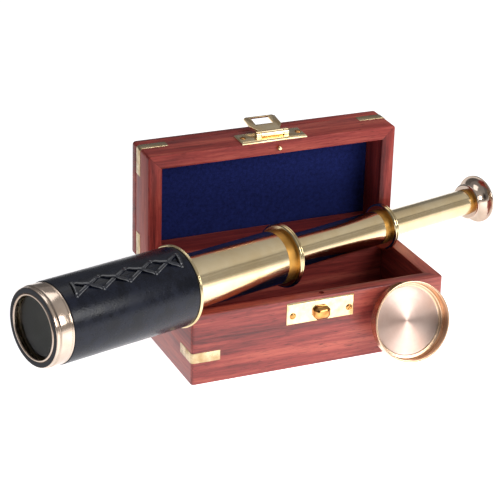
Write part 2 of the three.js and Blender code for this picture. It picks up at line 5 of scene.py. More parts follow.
import bmesh
import bpy
from mathutils import Matrix, Vector, noise


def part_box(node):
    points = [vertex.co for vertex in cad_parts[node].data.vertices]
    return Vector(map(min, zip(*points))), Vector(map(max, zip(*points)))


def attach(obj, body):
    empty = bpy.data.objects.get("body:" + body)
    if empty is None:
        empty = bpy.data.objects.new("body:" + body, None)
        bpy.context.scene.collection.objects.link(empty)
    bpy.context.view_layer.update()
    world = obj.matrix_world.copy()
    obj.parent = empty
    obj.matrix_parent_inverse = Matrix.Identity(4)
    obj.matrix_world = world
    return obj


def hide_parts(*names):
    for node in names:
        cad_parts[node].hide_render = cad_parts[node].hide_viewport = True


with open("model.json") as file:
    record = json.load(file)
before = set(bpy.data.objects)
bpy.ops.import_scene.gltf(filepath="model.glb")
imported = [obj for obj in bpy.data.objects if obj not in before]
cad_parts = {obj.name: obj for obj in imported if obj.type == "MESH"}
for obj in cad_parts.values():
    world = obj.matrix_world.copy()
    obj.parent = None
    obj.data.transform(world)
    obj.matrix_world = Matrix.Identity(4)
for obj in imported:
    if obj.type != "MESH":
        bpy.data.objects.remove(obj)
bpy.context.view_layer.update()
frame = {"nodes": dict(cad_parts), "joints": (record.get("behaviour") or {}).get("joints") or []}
nodes = frame["nodes"]
joints = {joint["name"]: joint for joint in frame["joints"]}
mm = 0.001
print("frame loaded")


def nodePoints(node):
    return [vert.co.copy() for vert in nodes[node].data.vertices]


def corners(points):
    low = Vector([min(point[axis] for point in points) for axis in range(3)])
    high = Vector([max(point[axis] for point in points) for axis in range(3)])
    return low, high


def localBox(node, place):  # a node's corners in another frame
    return corners([place.inverted() @ point for point in nodePoints(node)])


def turnedPlace(node, along):  # X runs along a turned piece's axis, from its first face
    side = Vector((0, 0, 1)).cross(along).normalized()
    up = along.cross(side)
    points = nodePoints(node)
    origin = along * min(point.dot(along) for point in points)
    for axis in (side, up):
        reach = [point.dot(axis) for point in points]
        origin += axis * (min(reach) + max(reach)) / 2
    return Matrix.Translation(origin) @ Matrix((along, side, up)).transposed().to_4x4()


lidOpenAngle = math.radians(89)
lidPin = Vector(joints["lid_hinge"]["pos_m"])
lidTurn = Matrix.Translation(lidPin) @ Matrix.Rotation(-lidOpenAngle, 4, "X")
lidPlace = lidTurn @ Matrix.Translation((0, -lidPin.y, 0))  # the shut lid, rim at zero, in the box's plan
flapLift = math.radians(8)
flapPlace = (Matrix.Translation(joints["hasp_hinge"]["pos_m"])
             @ Matrix.Rotation(flapLift - lidOpenAngle, 4, "X"))
basePlace = Matrix.Identity(4)
glassPlace = turnedPlace("objective_cell", -Vector(joints["draw_1_slide"]["axis"]).normalized())
capLean = math.radians(17)
capPlace = turnedPlace("lens_cap", Vector((0, -math.cos(capLean), math.sin(capLean))))


def span(node, place=glassPlace):  # first and last station and largest radius, in mm
    points = [place.inverted() @ point for point in nodePoints(node)]
    stations = [point.x / mm for point in points]
    return min(stations), max(stations), max(math.hypot(point.y, point.z) for point in points) / mm


def toLinear(hexColour):
    channels = [(hexColour >> shift & 255) / 255 for shift in (16, 8, 0)]
    return tuple(c / 12.92 if c <= 0.04045 else ((c + 0.055) / 1.055) ** 2.4 for c in channels) + (1,)


def addNode(tree, kind, inputs=None, stops=None, **settings):
    node = tree.nodes.new(kind)
    for name, value in settings.items():
        setattr(node, name, value)
    for name, value in (inputs or {}).items():
        socket = node.inputs[name]
        if isinstance(value, bpy.types.NodeSocket):
            tree.links.new(value, socket)
        else:
            socket.default_value = value
    for index, (position, colour) in enumerate(stops or []):
        ramp = node.color_ramp.elements
        element = ramp[index] if index < 2 else ramp.new(position)
        element.position = position
        element.color = colour
    return node


def newMaterial(name):
    material = bpy.data.materials.new(name)
    material.use_nodes = True
    material.node_tree.nodes.clear()
    return material, material.node_tree


def grey(value):
    return (value, value, value, 1)


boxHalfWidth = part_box("base_right_wall")[1].x
boxHalfDepth = -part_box("base_front_wall")[0].y

wood = {
    "dark": 0x561F1E, "middle": 0x8C3631, "light": 0xAE5446, "pore": 0x34120F,
    "streakWidth": 1.5, "bandWidth": 13, "poreWidth": 0.35, "jointLine": 0.1,
    "lengthwise": 0.055, "glossiest": 0.27, "dullest": 0.38,
}


def varnishedRosewood(name, place, mitred, shine=0.5):
    # Indian rosewood, planed and sealed: reddish brown with dark streaks and open pores under a satin varnish
    material, tree = newMaterial(name)
    inverse = place.inverted()
    where = addNode(tree, "ShaderNodeTexCoord").outputs["Object"]
    plan = addNode(tree, "ShaderNodeMapping", {"Vector": where, "Location": inverse.to_translation(),
                                               "Rotation": inverse.to_euler()}).outputs["Vector"]
    x, y, z = addNode(tree, "ShaderNodeSeparateXYZ", {"Vector": plan}).outputs
    along, across = x, y
    joint = None
    if mitred:  # a front or back board's grain runs along X and a side board's along Y
        absX = addNode(tree, "ShaderNodeMath", {0: x}, operation="ABSOLUTE").outputs[0]
        absY = addNode(tree, "ShaderNodeMath", {0: y}, operation="ABSOLUTE").outputs[0]
        apart = addNode(tree, "ShaderNodeMath", {0: absY, 1: absX}, operation="SUBTRACT").outputs[0]
        edge = addNode(tree, "ShaderNodeMath", {0: apart, 1: boxHalfWidth - boxHalfDepth}).outputs[0]
        onSide = addNode(tree, "ShaderNodeMath", {0: edge, 1: 0.0}, operation="LESS_THAN").outputs[0]
        along = addNode(tree, "ShaderNodeMix", {"Factor": onSide, "A": x, "B": y}).outputs[0]
        across = addNode(tree, "ShaderNodeMix", {"Factor": onSide, "A": y, "B": x}).outputs[0]
        joint = addNode(tree, "ShaderNodeMath", {0: edge, 1: 0.0, 2: wood["jointLine"] * mm},
                        operation="COMPARE").outputs[0]
    slow = addNode(tree, "ShaderNodeMath", {0: along, 1: wood["lengthwise"]},
                   operation="MULTIPLY").outputs[0]
    grain = addNode(tree, "ShaderNodeCombineXYZ", {"X": slow, "Y": across, "Z": z}).outputs[0]
    streak = addNode(tree, "ShaderNodeTexNoise", {
        "Vector": grain, "Scale": 1 / (wood["streakWidth"] * mm), "Detail": 5.0, "Roughness": 0.6,
        "Distortion": 0.3}).outputs["Fac"]
    band = addNode(tree, "ShaderNodeTexNoise", {
        "Vector": grain, "Scale": 1 / (wood["bandWidth"] * mm), "Detail": 3.0, "Roughness": 0.5,
        "Distortion": 0.8}).outputs["Fac"]
    both = addNode(tree, "ShaderNodeMix", {"Factor": 0.6, "A": streak, "B": band}).outputs[0]
    colour = addNode(tree, "ShaderNodeValToRGB", {"Fac": both}, stops=[
        (0.36, toLinear(wood["dark"])), (0.64, toLinear(wood["light"])),
        (0.5, toLinear(wood["middle"]))]).outputs["Color"]
    pores = addNode(tree, "ShaderNodeTexNoise", {
        "Vector": grain, "Scale": 1 / (wood["poreWidth"] * mm), "Detail": 2.0}).outputs["Fac"]
    gaps = addNode(tree, "ShaderNodeMapRange", {"Value": pores, "From Min": 0.6, "From Max": 0.68,
                                                "To Max": 0.65}).outputs[0]
    if joint:
        gaps = addNode(tree, "ShaderNodeMath", {0: gaps, 1: joint}, operation="MAXIMUM").outputs[0]
    colour = addNode(tree, "ShaderNodeMix", {0: gaps, 6: colour, 7: toLinear(wood["pore"])},
                     data_type="RGBA").outputs[2]
    gloss = addNode(tree, "ShaderNodeMapRange", {"Value": band, "From Min": 0.3, "From Max": 0.7,
                                                 "To Min": wood["glossiest"],
                                                 "To Max": wood["dullest"]}).outputs[0]
    bump = addNode(tree, "ShaderNodeBump", {"Height": gaps, "Strength": 0.3, "Distance": 0.08 * mm},
                   invert=True).outputs[0]
    shader = addNode(tree, "ShaderNodeBsdfPrincipled", {
        "Base Color": colour, "Roughness": gloss, "Normal": bump, "IOR": 1.46, "Specular IOR Level": shine})
    addNode(tree, "ShaderNodeOutputMaterial", {"Surface": shader.outputs[0]})
    return material


felt = {"deep": 0x0B123C, "worn": 0x1F2A6A, "nap": 0x4A5AA8, "tuft": 2.2, "fibre": 0.5}


def navyFelt(name):
    # pressed wool felt: no gloss, a soft edge of light along the nap; fibres are drawn coarser than life
    material, tree = newMaterial(name)
    where = addNode(tree, "ShaderNodeTexCoord").outputs["Object"]
    tuft = addNode(tree, "ShaderNodeTexNoise", {"Vector": where, "Scale": 1 / (felt["tuft"] * mm),
                                                "Detail": 4.0, "Roughness": 0.7}).outputs["Fac"]
    fibre = addNode(tree, "ShaderNodeTexNoise", {"Vector": where, "Scale": 1 / (felt["fibre"] * mm),
                                                 "Detail": 3.0, "Distortion": 1.5}).outputs["Fac"]
    both = addNode(tree, "ShaderNodeMix", {"Factor": 0.45, "A": tuft, "B": fibre}).outputs[0]
    colour = addNode(tree, "ShaderNodeValToRGB", {"Fac": both}, stops=[
        (0.35, toLinear(felt["deep"])), (0.68, toLinear(felt["worn"]))]).outputs["Color"]
    bump = addNode(tree, "ShaderNodeBump", {"Height": fibre, "Strength": 0.6,
                                            "Distance": 0.15 * mm}).outputs[0]
    shader = addNode(tree, "ShaderNodeBsdfPrincipled", {
        "Base Color": colour, "Roughness": 0.95, "Normal": bump, "Specular IOR Level": 0.15,
        "Sheen Weight": 0.35, "Sheen Roughness": 0.4, "Sheen Tint": toLinear(felt["nap"])})
    addNode(tree, "ShaderNodeOutputMaterial", {"Surface": shader.outputs[0]})
    return material


leather = {"deep": 0x090B14, "worn": 0x161A28, "gap": 0x08080B, "pebble": 1.0, "mottle": 9, "seam": 0.3}
lacing = {"first": 20.8, "pitch": 18.6, "count": 5, "near": 125.5, "far": 104, "thick": 0.85,
          "sunk": 0.5, "proud": 0.35, "crossing": 0.9, "knot": 1.5, "knotHeight": 0.6}


def dyedLeather(name, seamed, polish=0.21, shine=0.2):
    # thin dyed goatskin, glued and laced along one seam: small pebbled grain, soft waxed sheen
    material, tree = newMaterial(name)
    where = addNode(tree, "ShaderNodeAttribute", attribute_name="place").outputs["Vector"]
    pebble = addNode(tree, "ShaderNodeTexVoronoi", {"Vector": where, "Scale": 1 / (leather["pebble"] * mm)},
                     feature="SMOOTH_F1").outputs["Distance"]
    mottle = addNode(tree, "ShaderNodeTexNoise", {"Vector": where, "Scale": 1 / (leather["mottle"] * mm),
                                                  "Detail": 5.0, "Roughness": 0.65}).outputs["Fac"]
    colour = addNode(tree, "ShaderNodeValToRGB", {"Fac": mottle}, stops=[
        (0.35, toLinear(leather["deep"])), (0.7, toLinear(leather["worn"]))]).outputs["Color"]
    height = addNode(tree, "ShaderNodeMath", {0: pebble, 1: mottle}).outputs[0]
    if seamed:  # the two edges of the hide meet under the lacing
        _, y, z = addNode(tree, "ShaderNodeSeparateXYZ", {"Vector": where}).outputs
        angle = addNode(tree, "ShaderNodeMath", {0: z, 1: y}, operation="ARCTAN2").outputs[0]
        middle = math.radians((lacing["near"] + lacing["far"]) / 2)
        seam = addNode(tree, "ShaderNodeMath", {
            0: angle, 1: middle, 2: leather["seam"] / span("leather_wrap")[2]},
            operation="COMPARE").outputs[0]
        colour = addNode(tree, "ShaderNodeMix", {0: seam, 6: colour, 7: toLinear(leather["gap"])},
                         data_type="RGBA").outputs[2]
        height = addNode(tree, "ShaderNodeMath", {0: height, 1: seam}, operation="SUBTRACT").outputs[0]
    gloss = addNode(tree, "ShaderNodeMapRange", {"Value": mottle, "From Min": 0.3, "From Max": 0.7,
                                                 "To Min": polish, "To Max": polish + 0.12}).outputs[0]
    bump = addNode(tree, "ShaderNodeBump", {"Height": height, "Strength": 0.35,
                                            "Distance": 0.12 * mm}).outputs[0]
    shader = addNode(tree, "ShaderNodeBsdfPrincipled", {
        "Base Color": colour, "Roughness": gloss, "Normal": bump, "Specular IOR Level": shine})
    addNode(tree, "ShaderNodeOutputMaterial", {"Surface": shader.outputs[0]})
    return material


wear = {"stainScale": 45, "markScale": 2200, "dullScale": 160}  # pattern cells per metre


def polishedBrass(name, clean, aged, roughness, marks, depth, lengthwise=False, fanned=None):
    # lacquered brass: turned on a lathe (rings) or drawn through a die (lengthwise streaks), then buffed
    material, tree = newMaterial(name)
    where = addNode(tree, "ShaderNodeAttribute", attribute_name="place").outputs["Vector"]
    x, y, z = addNode(tree, "ShaderNodeSeparateXYZ", {"Vector": where}).outputs
    if lengthwise:
        slow = addNode(tree, "ShaderNodeMath", {0: x, 1: 0.01}, operation="MULTIPLY").outputs[0]
        tool = addNode(tree, "ShaderNodeCombineXYZ", {"X": slow, "Y": y, "Z": z}).outputs[0]
    else:
        outward = addNode(tree, "ShaderNodeCombineXYZ", {"Y": y, "Z": z}).outputs[0]
        radius = addNode(tree, "ShaderNodeVectorMath", {0: outward}, operation="LENGTH").outputs["Value"]
        tool = addNode(tree, "ShaderNodeCombineXYZ", {"X": x, "Y": radius}).outputs[0]
    mark = addNode(tree, "ShaderNodeTexNoise", {"Vector": tool, "Scale": 1 / (marks * mm), "Detail": 4.0,
                                                "Roughness": 0.7}).outputs["Fac"]
    stain = addNode(tree, "ShaderNodeTexNoise", {
        "Vector": where, "Scale": wear["stainScale"], "Detail": 4.0, "Roughness": 0.6}).outputs["Fac"]
    colour = addNode(tree, "ShaderNodeValToRGB", {"Fac": stain}, stops=[
        (0.3, toLinear(clean)), (0.75, toLinear(aged))]).outputs["Color"]
    gloss = addNode(tree, "ShaderNodeMapRange", {
        "Value": mark, "From Min": 0.3, "From Max": 0.7, "To Min": roughness * 0.75,
        "To Max": roughness * 1.3}).outputs[0]
    bump = addNode(tree, "ShaderNodeBump", {"Height": mark, "Strength": 1.0,
                                            "Distance": depth * mm}).outputs[0]
    shader = addNode(tree, "ShaderNodeBsdfPrincipled", {
        "Base Color": colour, "Metallic": 1.0, "Roughness": gloss, "Normal": bump})
    if fanned:  # fine rings on a flat face spread a light into a fan from its middle
        tangent = addNode(tree, "ShaderNodeMapping", {"Vector": outward, "Rotation": fanned.to_euler()},
                          vector_type="NORMAL").outputs[0]
        tree.links.new(tangent, shader.inputs["Tangent"])
        shader.inputs["Anisotropic"].default_value = 0.92
    addNode(tree, "ShaderNodeOutputMaterial", {"Surface": shader.outputs[0]})
    return material


def stampedBrass(name, clean, aged, roughness):
    # sheet brass, stamped and polished: bright yellow, faint polishing marks and small dull patches
    material, tree = newMaterial(name)
    where = addNode(tree, "ShaderNodeTexCoord").outputs["Object"]
    fast = addNode(tree, "ShaderNodeMapping", {"Vector": where, "Scale": (0.08, 1, 1)}).outputs[0]
    mark = addNode(tree, "ShaderNodeTexNoise", {
        "Vector": fast, "Scale": wear["markScale"], "Detail": 3.0}).outputs["Fac"]
    stain = addNode(tree, "ShaderNodeTexNoise", {
        "Vector": where, "Scale": wear["dullScale"], "Detail": 5.0}).outputs["Fac"]
    colour = addNode(tree, "ShaderNodeValToRGB", {"Fac": stain}, stops=[
        (0.35, toLinear(clean)), (0.75, toLinear(aged))]).outputs["Color"]
    gloss = addNode(tree, "ShaderNodeMapRange", {
        "Value": stain, "From Min": 0.3, "From Max": 0.7, "To Min": roughness * 0.7,
        "To Max": roughness * 1.4}).outputs[0]
    bump = addNode(tree, "ShaderNodeBump", {"Height": mark, "Strength": 0.12,
                                            "Distance": 0.02 * mm}).outputs[0]
    shader = addNode(tree, "ShaderNodeBsdfPrincipled", {
        "Base Color": colour, "Metallic": 1.0, "Roughness": gloss, "Normal": bump})
    addNode(tree, "ShaderNodeOutputMaterial", {"Surface": shader.outputs[0]})
    return material


glass = {"tint": 0xE8EAE2, "bloomScale": 300}


def groundGlass(name):
    # polished, coated glass that hardly reflects, with a faint bloom of dust
    material, tree = newMaterial(name)
    where = addNode(tree, "ShaderNodeAttribute", attribute_name="place").outputs["Vector"]
    dust = addNode(tree, "ShaderNodeTexNoise", {
        "Vector": where, "Scale": glass["bloomScale"], "Detail": 6.0}).outputs["Fac"]
    gloss = addNode(tree, "ShaderNodeMapRange", {"Value": dust, "From Min": 0.5, "From Max": 0.8,
                                                 "To Min": 0.0, "To Max": 0.12}).outputs[0]
    shader = addNode(tree, "ShaderNodeBsdfPrincipled", {
        "Base Color": toLinear(glass["tint"]), "Roughness": gloss, "IOR": 1.16, "Transmission Weight": 1.0})
    addNode(tree, "ShaderNodeOutputMaterial", {"Surface": shader.outputs[0]})
    return material


baseWood = varnishedRosewood("varnishedRosewoodBase", basePlace, True)
lidWood = varnishedRosewood("varnishedRosewoodLid", lidPlace, True, 0.15)
panelWood = varnishedRosewood("varnishedRosewoodPanel", lidPlace, False, 0.15)
floorWood = varnishedRosewood("varnishedRosewoodFloor", basePlace, False)
liningFelt = navyFelt("pressedNavyFelt")
wrapLeather = dyedLeather("dyedGoatskin", True)
laceLeather = dyedLeather("waxedLeatherLace", False, 0.16, 0.7)
cellBrass = polishedBrass("turnedRoseBrass", 0xD2C1B2, 0xB59F8C, 0.14, 0.5, 0.012)
collarBrass = polishedBrass("turnedGoldBrass", 0xE8D8B0, 0xC6AC7C, 0.15, 0.5, 0.012)
tubeBrass = polishedBrass("drawnPaleBrass", 0xF0DDB6, 0xE3C896, 0.14, 0.9, 0.035, lengthwise=True)
bandBrass = polishedBrass("amberLacqueredBrass", 0xC0914A, 0xA87636, 0.42, 0.4, 0.01)
capBrass = polishedBrass("turnedCapBrass", 0xD3BDB2, 0xC4A596, 0.4, 0.5, 0.01, fanned=capPlace)
capWallBrass = polishedBrass("polishedCapWallBrass", 0xE4C4A8, 0xC69D7A, 0.24, 0.5, 0.012)
# painted shade: the bores inside the tubes and the erector cell get a dark brown brass
boreShadeBrass = polishedBrass("shadedBoreBrass", 0x6A5C46, 0x40382A, 0.42, 0.8, 0.02)
faceBlack = polishedBrass("blackenedFaceBrass", 0x2A2B30, 0x1B1C20, 0.38, 0.4, 0.02)
plateBrass = stampedBrass("stampedYellowBrass", 0xF0DCB6, 0xE0BC84, 0.15)
hookBrass = stampedBrass("tarnishedHookBrass", 0xDDA15E, 0x64381A, 0.12)
strapBrass = stampedBrass("filedStrapBrass", 0xC9B692, 0xA4855A, 0.28)
lensGlass = groundGlass("coatedLensGlass")
print("materials made")


smoothBelow = math.radians(32)


def makePiece(name, bm, place, body, replaced, materials):
    bmesh.ops.remove_doubles(bm, verts=bm.verts, dist=0.002 * mm)
    bmesh.ops.recalc_face_normals(bm, faces=bm.faces)
    layer = bm.verts.layers.float_vector.new("place")
    for vert in bm.verts:
        vert[layer] = vert.co
    bmesh.ops.transform(bm, matrix=place, verts=bm.verts)
    for face in bm.faces:
        face.smooth = True
    for edge in bm.edges:
        edge.smooth = len(edge.link_faces) != 2 or edge.calc_face_angle(0) < smoothBelow
    mesh = bpy.data.meshes.new(name)
    bm.to_mesh(mesh)
    bm.free()
    for material in materials:
        mesh.materials.append(material)
    piece = bpy.data.objects.new(name, mesh)
    bpy.context.scene.collection.objects.link(piece)
    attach(piece, body)
    if replaced:
        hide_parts(*replaced)


def bevelled(bm, edges, offset, steps=2):
    bmesh.ops.bevel(bm, geom=edges, offset=offset, segments=steps, profile=0.5, affect="EDGES", material=-1)


def lengthAlong(edge, axis):
    return abs(edge.verts[0].co[axis] - edge.verts[1].co[axis])


def sharpEdges(bm, degrees):
    return [edge for edge in bm.edges if edge.calc_face_angle(0) > math.radians(degrees)]


def extruded(bm, face, reach):
    grown = bmesh.ops.extrude_face_region(bm, geom=[face])["geom"]
    moved = [item for item in grown if isinstance(item, bmesh.types.BMVert)]
    bmesh.ops.translate(bm, vec=reach, verts=moved)
    bmesh.ops.recalc_face_normals(bm, faces=bm.faces)


def block(low, high, rounding=0.0):
    bm = bmesh.new()
    bmesh.ops.create_cube(bm, size=1)
    bmesh.ops.scale(bm, vec=Vector(high) - Vector(low), verts=bm.verts)
    bmesh.ops.translate(bm, vec=(Vector(high) + Vector(low)) / 2, verts=bm.verts)
    if rounding:
        bevelled(bm, bm.edges[:], rounding)
    return bm


def rod(start, end, radius, sides=32):
    start, end = Vector(start), Vector(end)
    bm = bmesh.new()
    bmesh.ops.create_cone(bm, cap_ends=True, segments=sides, radius1=radius, radius2=radius,
                          depth=(end - start).length)
    turn = Vector((0, 0, 1)).rotation_difference(end - start).to_matrix().to_4x4()
    bmesh.ops.transform(bm, matrix=Matrix.Translation((start + end) / 2) @ turn, verts=bm.verts)
    return bm


def merged(parts):  # several closed shapes in one mesh
    whole = bmesh.new()
    for part in parts:
        mesh = bpy.data.meshes.new("part")
        part.to_mesh(mesh)
        whole.from_mesh(mesh)
        bpy.data.meshes.remove(mesh)
        part.free()
    return whole


def temporary(bm):
    mesh = bpy.data.meshes.new("temporary")
    bm.to_mesh(mesh)
    bm.free()
    holder = bpy.data.objects.new("temporary", mesh)
    bpy.context.scene.collection.objects.link(holder)
    return holder


def carve(bm, tools, operation="DIFFERENCE"):  # takes the tools out of a shape, or adds them to it
    holder = temporary(bm)
    cutters = [temporary(tool) for tool in tools]
    for cutter in cutters:
        modifier = holder.modifiers.new("carve", "BOOLEAN")
        modifier.operation = operation
        modifier.solver = "EXACT"
        modifier.object = cutter
    solved = holder.evaluated_get(bpy.context.evaluated_depsgraph_get())
    carved = bmesh.new()
    carved.from_mesh(solved.to_mesh())
    solved.to_mesh_clear()
    for used in [holder, *cutters]:
        mesh = used.data
        bpy.data.objects.remove(used)
        bpy.data.meshes.remove(mesh)
    return carved


def eased(points, radius, closed=True, steps=3):  # rounds the corners of an outline
    result = []
    for index, point in enumerate(points):
        corner = Vector(point)
        if not closed and index in (0, len(points) - 1):
            result.append(corner)
            continue
        back = Vector(points[index - 1]) - corner
        ahead = Vector(points[(index + 1) % len(points)]) - corner
        if back.length < 0.01 or ahead.length < 0.01 or back.angle(ahead) > math.radians(168):
            result.append(corner)
            continue
        first = corner + back.normalized() * min(radius, back.length * 0.42)
        last = corner + ahead.normalized() * min(radius, ahead.length * 0.42)
        for step in range(steps + 1):
            share = step / steps
            result.append(first * (1 - share) ** 2 + corner * 2 * share * (1 - share) + last * share ** 2)
    return result


def turned(profile, rounding=0.15, closed=True, sides=128):  # spins an outline of stations and radii, in mm
    bm = bmesh.new()
    outline = eased(profile, rounding, closed)
    verts = [bm.verts.new((station * mm, 0, radius * mm)) for station, radius in outline]
    edges = [bm.edges.new(pair) for pair in zip(verts, verts[1:])]
    if closed:
        edges.append(bm.edges.new((verts[-1], verts[0])))
    bmesh.ops.spin(bm, geom=verts + edges, cent=(0, 0, 0), axis=(1, 0, 0), dvec=(0, 0, 0),
                   angle=math.tau, steps=sides, use_merge=True, use_duplicate=False)
    bmesh.ops.remove_doubles(bm, verts=bm.verts, dist=0.001 * mm)
    return bm


boards = {"rounding": 0.9, "cornerRounding": 2.1, "hingeChamfer": 1.6, "leafSlack": 0.12, "leafDepth": 1.25,
          "leafCut": 2, "knuckleSlack": 0.15, "pinHole": 1.75, "pinHoleDepth": 4, "glued": 0.3}


def roundedBlock(low, high):  # a block whose upright edges are rounder than the others
    bm = block(low, high)
    upright = [edge for edge in bm.edges if lengthAlong(edge, 2) > mm]
    bevelled(bm, upright, boards["cornerRounding"] * mm, 4)
    bevelled(bm, sharpEdges(bm, 60), boards["rounding"] * mm, 3)
    return bm


def boardRing(low, high, wall, hingeRim):  # four mitred boards as one ring
    bm = block(low, high)
    ends = [face for face in bm.faces if abs(face.normal.z) > 0.9]
    bmesh.ops.inset_individual(bm, faces=ends, thickness=wall, use_even_offset=True)
    bmesh.ops.delete(bm, geom=ends, context="FACES")
    bmesh.ops.bridge_loops(bm, edges=[edge for edge in bm.edges if edge.is_boundary])
    rim = [edge for edge in bm.edges if all(abs(vert.co.z - hingeRim) < mm / 10
                                            and abs(vert.co.y - high.y) < mm / 10 for vert in edge.verts)]
    bevelled(bm, rim, boards["hingeChamfer"] * mm, 1)
    inner = []
    for edge in sharpEdges(bm, 60):
        inside = all(abs(vert.co.x) < high.x - mm and abs(vert.co.y) < high.y - 3 * mm for vert in edge.verts)
        if inside and lengthAlong(edge, 2) < mm / 10:
            inner.append(edge)
    bevelled(bm, inner, boards["rounding"] * mm, 3)
    return carve(bm, [roundedBlock(low, high)], "INTERSECT")


def hingeRoom(place, kind, rim, up):  # what a pair of hinges needs cut from a rim
    tools = []
    slack = boards["leafSlack"] * mm
    levels = sorted((rim + up * boards["leafDepth"] * mm, rim - up * boards["leafCut"] * mm))
    for side in ("left", "right"):
        low, high = localBox(f"hinge_leaf_{kind}_{side}", place)
        tools.append(block((low.x - slack, low.y - slack, levels[0]), (high.x + slack, lidPin.y, levels[1])))
        knuckle = high.y - lidPin.y + boards["knuckleSlack"] * mm
        tools.append(rod((low.x - slack, lidPin.y, rim), (high.x + slack, lidPin.y, rim), knuckle))
    return tools


def makeBoards(kind, place, body, material):
    names = [f"{kind}_{side}_wall" for side in ("front", "back", "left", "right")]
    low, high = corners([corner for name in names for corner in localBox(name, place)])
    low.y, high.y = -boxHalfDepth, boxHalfDepth
    frontLow, frontHigh = localBox(names[0], place)
    wall = frontHigh.y - frontLow.y
    up = 1 if kind == "lid" else -1
    rim = low.z if kind == "lid" else high.z
    tools = hingeRoom(place, kind, rim, up)
    if kind == "base":  # the lid's locating pin drops into this hole
        pinLow, pinHigh = localBox("locating_pin", lidPlace)
        x, y, _ = (pinLow + pinHigh) / 2
        tools.append(rod((x, y, rim - boards["pinHoleDepth"] * mm), (x, y, rim + 2 * mm),
                         boards["pinHole"] * mm))
    ring = carve(boardRing(low, high, wall, rim), tools)
    makePiece(f"{kind}Boards", ring, place, body, names, [material])


makeBoards("base", basePlace, "box", baseWood)
makeBoards("lid", lidPlace, "lid", lidWood)
low, high = localBox("base_floor", basePlace)
grow = Vector((1, 1, 0)) * boards["glued"] * mm
makePiece("baseFloorBoard", block(low - grow, high + grow, 0.2 * mm), basePlace, "box", ["base_floor"],
          [floorWood])
low, high = localBox("lid_panel", lidPlace)
low.z -= boards["glued"] * mm  # glued down on the four walls
makePiece("lidPanelBoard", roundedBlock(low, high), lidPlace, "lid", ["lid_panel"], [panelWood])
print("boards made")


linings = {"nap": 0.18, "napScale": 900, "ripple": 0.25, "rippleScale": 70, "cells": 70, "softEdge": 2,
           "edgeDrop": 0.35}


def liningSheet(low, high, faceUp):  # a felt sheet with a slightly uneven face and soft edges
    bm = block(low, high)
    across = [edge for edge in bm.edges if lengthAlong(edge, 2) < mm / 10]
    bmesh.ops.subdivide_edges(bm, edges=across, cuts=linings["cells"], use_grid_fill=True)
    face = high.z if faceUp else low.z
    for vert in bm.verts:
        if abs(vert.co.z - face) > mm / 10:
            continue
        inset = min(vert.co.x - low.x, high.x - vert.co.x, vert.co.y - low.y, high.y - vert.co.y)
        soft = min(inset / (linings["softEdge"] * mm), 1)
        lift = (noise.noise(vert.co * linings["rippleScale"]) * linings["ripple"]
                + noise.noise(vert.co * linings["napScale"]) * linings["nap"])
        vert.co.z += (lift * soft - linings["edgeDrop"] * (1 - soft)) * mm * (1 if faceUp else -1)
    return bm


halves = (("base", basePlace, "box"), ("lid", lidPlace, "lid"))
for kind, place, body in halves:
    low, high = localBox(f"{kind}_lining", place)
    sheet = liningSheet(low - grow * 0.9, high + grow * 0.9, kind == "base")
    makePiece(f"{kind}FeltLining", sheet, place, body, [f"{kind}_lining"], [liningFelt])
print("linings made")


straps = {"thickness": 1.7, "rounding": 0.3}


def strapShape(low, high, signX, signY):  # an L of brass round one corner
    thick = straps["thickness"] * mm
    out = Vector((high.x if signX > 0 else low.x, high.y if signY > 0 else low.y))
    leg = Vector((low.x if signX > 0 else high.x, low.y if signY > 0 else high.y))
    inner = out - Vector((signX, signY)) * thick
    outline = [(out.x, out.y), (leg.x, out.y), (leg.x, inner.y), (inner.x, inner.y), (inner.x, leg.y),
               (out.x, leg.y)]
    bm = bmesh.new()
    face = bm.faces.new([bm.verts.new((x, y, low.z)) for x, y in outline])
    extruded(bm, face, (0, 0, high.z - low.z))
    corner = [edge for edge in bm.edges if all((vert.co.xy - out).length < mm / 10 for vert in edge.verts)]
    bevelled(bm, corner, boards["cornerRounding"] * mm, 4)
    bevelled(bm, sharpEdges(bm, 30), straps["rounding"] * mm)
    return bm


for kind, place, body in halves:
    for corner, signX, signY in (("front_left", -1, -1), ("front_right", 1, -1),
                                 ("back_left", -1, 1), ("back_right", 1, 1)):
        node = f"{kind}_strap_{corner}"
        low, high = localBox(node, place)
        shape = strapShape(low, high, signX, signY)
        makePiece(f"{kind}Strap_{corner}", shape, place, body, [node], [strapBrass])
print("straps made")


plates = {"chamfer": 0.85, "rounding": 0.15, "screwHead": 2.1, "slotWidth": 0.55, "slotDepth": 0.4,
          "flapThickness": 1.2, "flapHalfRoot": 7.5, "flapHalfTip": 10.75, "flapLength": 21.8,
          "flapShoulder": 9.5, "flapCorner": 1.6, "flapRounding": 0.22, "windowStart": 11.5,
          "windowLength": 9, "windowWidth": 12, "knuckle": 2.2, "pinBore": 0.95, "pinRadius": 0.8,
          "drumRoom": 1.6, "lugStart": 7.8, "lugEnd": 10.8, "haspStand": 1.5, "haspFront": 1.2, "sunk": 0.3,
          "leafEase": 0.12}
hookCut = {"crown": 0.45, "corner": 2, "facet": 2.1, "rounding": 0.2, "sunk": 0.4}  # the crown is a share


def chamferedPlate(low, high):  # a thin plate whose front edges slope to the wood
    bm = block(low, high)
    front = [edge for edge in bm.edges if all(abs(vert.co.y - low.y) < mm / 10 for vert in edge.verts)]
    bevelled(bm, front, plates["chamfer"] * mm, 1)
    bevelled(bm, sharpEdges(bm, 20), plates["rounding"] * mm)
    return bm


